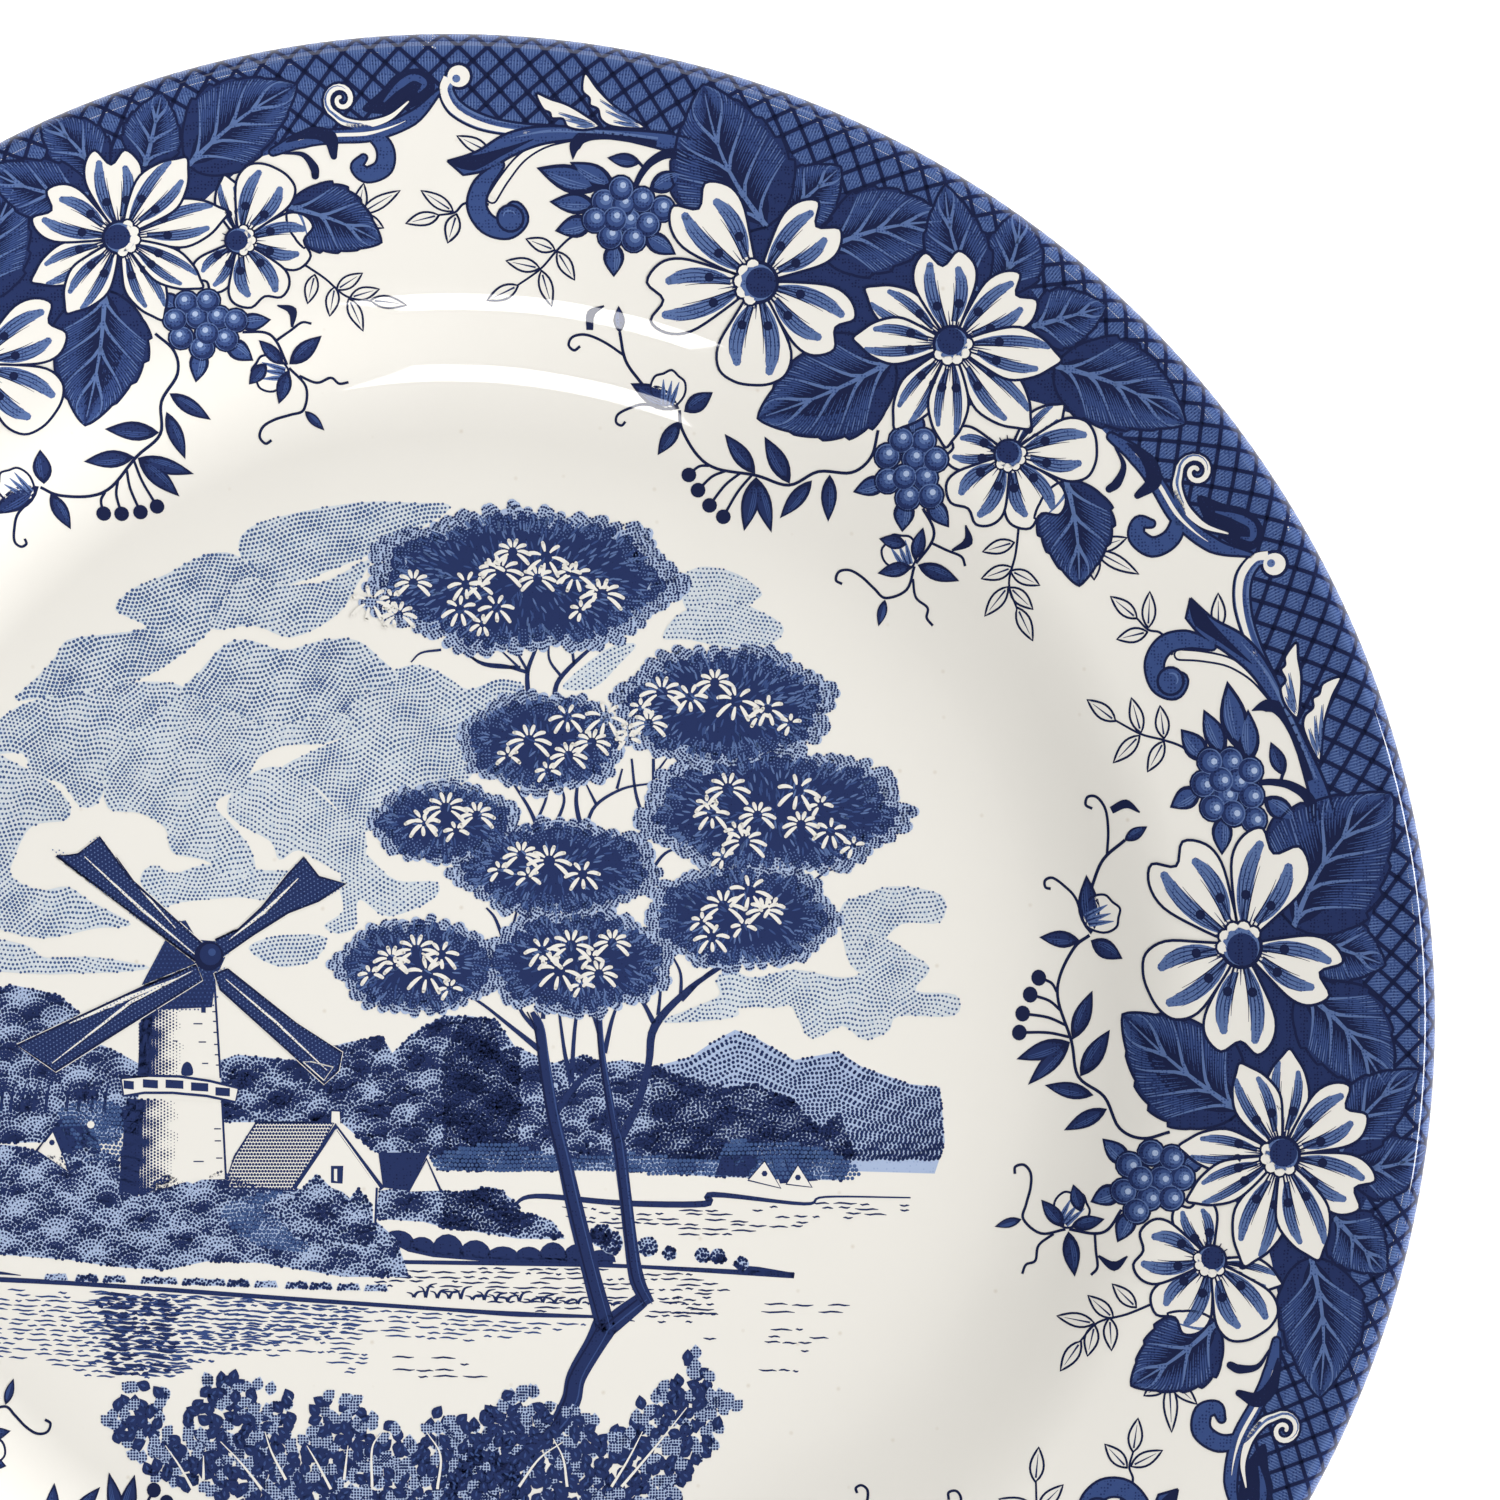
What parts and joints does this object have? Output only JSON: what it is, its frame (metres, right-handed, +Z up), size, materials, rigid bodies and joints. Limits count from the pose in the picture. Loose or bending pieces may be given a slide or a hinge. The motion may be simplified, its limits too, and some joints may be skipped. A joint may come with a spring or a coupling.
{
  "type": "dinner plate",
  "caption": "Round china dinner plate with a flat well, a curved shoulder, a sloping rim and a foot ring, with a blue printed landscape and floral border under the glaze.",
  "frame": {"origin": "on the plate's axis, at the plane that the foot ring stands on", "axes": "+Z up along the plate's axis, +Y towards the top of the printed picture, +X to its right"},
  "size_m": [0.254, 0.254, 0.0218],
  "materials": {
    "fired_clay": "matte, unglazed",
    "cobalt_print": "printed in blue under the glaze",
    "glaze": "clear, glossy, over a warm white body"
  },
  "bodies": {
    "root": {"clay_body": "fired_clay", "centre_transfer": "cobalt_print", "border_transfer": "cobalt_print", "outer_glaze": "glaze", "recess_glaze": "glaze"}
  },
  "joints": []
}
